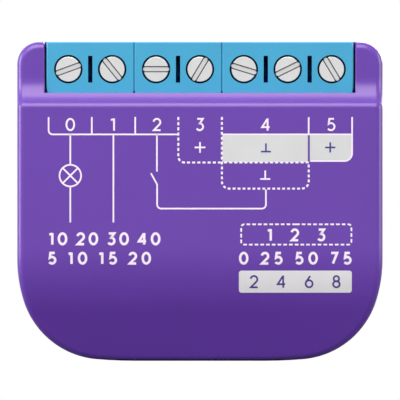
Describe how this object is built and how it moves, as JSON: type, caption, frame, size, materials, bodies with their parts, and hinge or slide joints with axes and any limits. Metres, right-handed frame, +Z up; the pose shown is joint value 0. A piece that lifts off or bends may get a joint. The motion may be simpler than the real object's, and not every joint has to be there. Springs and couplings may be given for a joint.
{
  "type": "smart relay module",
  "caption": "Compact in-wall relay module: rounded deep purple housing with a raised printed front, blue screw terminals along the top edge and a snap-in rear cover.",
  "frame": {"origin": "middle of the lower edge on which the module stands, halfway through its depth", "axes": "+X along the row of terminals, +Y from the printed front to the rear cover, +Z up towards the terminals"},
  "size_m": [0.0424, 0.016, 0.0369],
  "materials": {
    "housing_purple": "fine satin moulding",
    "terminal_blue": "smooth moulding",
    "screw_zinc": "zinc plated, turned",
    "cage_steel": "zinc plated, stamped",
    "contact_copper": "tinned copper alloy",
    "board_green": "solder mask",
    "relay_black": "moulded case",
    "bobbin_white": "natural nylon",
    "enamelled_wire": "enamelled copper turns",
    "soft_iron": "nickel plated iron",
    "ferrite": "sintered ferrite",
    "capacitor_sleeve": "shrink sleeve over aluminium",
    "varistor_blue": "dipped epoxy",
    "fuse_ceramic": "ceramic tube with end caps",
    "chip_black": "moulded epoxy",
    "shield_tin": "tinned sheet",
    "switch_black": "moulded nylon",
    "light_clear": "clear polycarbonate",
    "led_white": "moulded lens"
  },
  "bodies": {
    "module": {"front_housing": "housing_purple", "rear_cover": "housing_purple", "main_board": "board_green", "radio_board": "board_green", "relay_base": "relay_black", "relay_case": "relay_black", "coil_bobbin": "bobbin_white", "transformer_bobbin": "bobbin_white", "coil_winding": "enamelled_wire", "transformer_winding": "enamelled_wire", "inductor_winding": "enamelled_wire", "relay_core": "soft_iron", "relay_yoke": "soft_iron", "fixed_contact": "contact_copper", "relay_coil_pins": "contact_copper", "transformer_pins": "contact_copper", "transformer_core": "ferrite", "inductor_core": "ferrite", "bulk_capacitor_1": "capacitor_sleeve", "bulk_capacitor_2": "capacitor_sleeve", "varistor": "varistor_blue", "fuse": "fuse_ceramic", "rectifier": "chip_black", "power_controller": "chip_black", "radio_chip": "chip_black", "radio_shield": "shield_tin", "switch_body": "switch_black", "switch_frame": "shield_tin", "switch_disc": "shield_tin", "light_pipe": "light_clear", "status_led": "led_white", "terminal_block_1": "terminal_blue", "terminal_block_2": "terminal_blue", "terminal_block_3": "terminal_blue", "contact_bar_1": "contact_copper", "contact_bar_2": "contact_copper", "contact_bar_3": "contact_copper", "contact_bar_4": "contact_copper", "contact_bar_5": "contact_copper", "contact_bar_6": "contact_copper", "contact_bar_7": "contact_copper"},
    "screw_1": {"clamp_screw_1": "screw_zinc"},
    "screw_2": {"clamp_screw_2": "screw_zinc"},
    "screw_3": {"clamp_screw_3": "screw_zinc"},
    "screw_4": {"clamp_screw_4": "screw_zinc"},
    "screw_5": {"clamp_screw_5": "screw_zinc"},
    "screw_6": {"clamp_screw_6": "screw_zinc"},
    "screw_7": {"clamp_screw_7": "screw_zinc"},
    "cage_1": {"clamp_cage_1": "cage_steel"},
    "cage_2": {"clamp_cage_2": "cage_steel"},
    "cage_3": {"clamp_cage_3": "cage_steel"},
    "cage_4": {"clamp_cage_4": "cage_steel"},
    "cage_5": {"clamp_cage_5": "cage_steel"},
    "cage_6": {"clamp_cage_6": "cage_steel"},
    "cage_7": {"clamp_cage_7": "cage_steel"},
    "button": {"service_button": "housing_purple"},
    "plunger": {"switch_plunger": "switch_black"},
    "armature": {"relay_armature": "soft_iron", "moving_contact": "contact_copper"}
  },
  "joints": [
    {"name": "screw_1_turn", "type": "hinge", "parent": "module", "child": "screw_1", "pos_m": [-0.01524, -0.0061, 0.03376], "axis": [0, 1, 0], "range_deg": [0, 1620]},
    {"name": "cage_1_rise", "type": "slide", "parent": "module", "child": "cage_1", "axis": [0, -1, 0], "range_m": [0, 0.00202]},
    {"name": "screw_2_turn", "type": "hinge", "parent": "module", "child": "screw_2", "pos_m": [-0.01016, -0.0061, 0.03376], "axis": [0, 1, 0], "range_deg": [0, 1620]},
    {"name": "cage_2_rise", "type": "slide", "parent": "module", "child": "cage_2", "axis": [0, -1, 0], "range_m": [0, 0.00202]},
    {"name": "screw_3_turn", "type": "hinge", "parent": "module", "child": "screw_3", "pos_m": [-0.00508, -0.0061, 0.03376], "axis": [0, 1, 0], "range_deg": [0, 1620]},
    {"name": "cage_3_rise", "type": "slide", "parent": "module", "child": "cage_3", "axis": [0, -1, 0], "range_m": [0, 0.00202]},
    {"name": "screw_4_turn", "type": "hinge", "parent": "module", "child": "screw_4", "pos_m": [0, -0.0061, 0.03376], "axis": [0, 1, 0], "range_deg": [0, 1620]},
    {"name": "cage_4_rise", "type": "slide", "parent": "module", "child": "cage_4", "axis": [0, -1, 0], "range_m": [0, 0.00202]},
    {"name": "screw_5_turn", "type": "hinge", "parent": "module", "child": "screw_5", "pos_m": [0.00508, -0.0061, 0.03376], "axis": [0, 1, 0], "range_deg": [0, 1620]},
    {"name": "cage_5_rise", "type": "slide", "parent": "module", "child": "cage_5", "axis": [0, -1, 0], "range_m": [0, 0.00202]},
    {"name": "screw_6_turn", "type": "hinge", "parent": "module", "child": "screw_6", "pos_m": [0.01016, -0.0061, 0.03376], "axis": [0, 1, 0], "range_deg": [0, 1620]},
    {"name": "cage_6_rise", "type": "slide", "parent": "module", "child": "cage_6", "axis": [0, -1, 0], "range_m": [0, 0.00202]},
    {"name": "screw_7_turn", "type": "hinge", "parent": "module", "child": "screw_7", "pos_m": [0.01524, -0.0061, 0.03376], "axis": [0, 1, 0], "range_deg": [0, 1620]},
    {"name": "cage_7_rise", "type": "slide", "parent": "module", "child": "cage_7", "axis": [0, -1, 0], "range_m": [0, 0.00202]},
    {"name": "button_press", "type": "slide", "parent": "module", "child": "button", "axis": [0, -1, 0], "range_m": [0, 0.0003], "stiffness_N_per_m": 2000, "springref_m": -0.0002},
    {"name": "plunger_press", "type": "slide", "parent": "module", "child": "plunger", "axis": [0, -1, 0], "range_m": [0, 0.0003]},
    {"name": "armature_swing", "type": "hinge", "parent": "module", "child": "armature", "pos_m": [0.0003, 0.0008, 0.0203], "axis": [0, 0, -1], "range_deg": [0, 5], "stiffness_Nm_per_rad": 0.02, "springref_deg": -2.86}
  ],
  "couplings": [
    {"joint": "screw_1_turn", "follows": "cage_1_rise", "rad_per_m": 13963},
    {"joint": "screw_2_turn", "follows": "cage_2_rise", "rad_per_m": 13963},
    {"joint": "screw_3_turn", "follows": "cage_3_rise", "rad_per_m": 13963},
    {"joint": "screw_4_turn", "follows": "cage_4_rise", "rad_per_m": 13963},
    {"joint": "screw_5_turn", "follows": "cage_5_rise", "rad_per_m": 13963},
    {"joint": "screw_6_turn", "follows": "cage_6_rise", "rad_per_m": 13963},
    {"joint": "screw_7_turn", "follows": "cage_7_rise", "rad_per_m": 13963},
    {"joint": "plunger_press", "follows": "button_press", "ratio": 1}
  ]
}
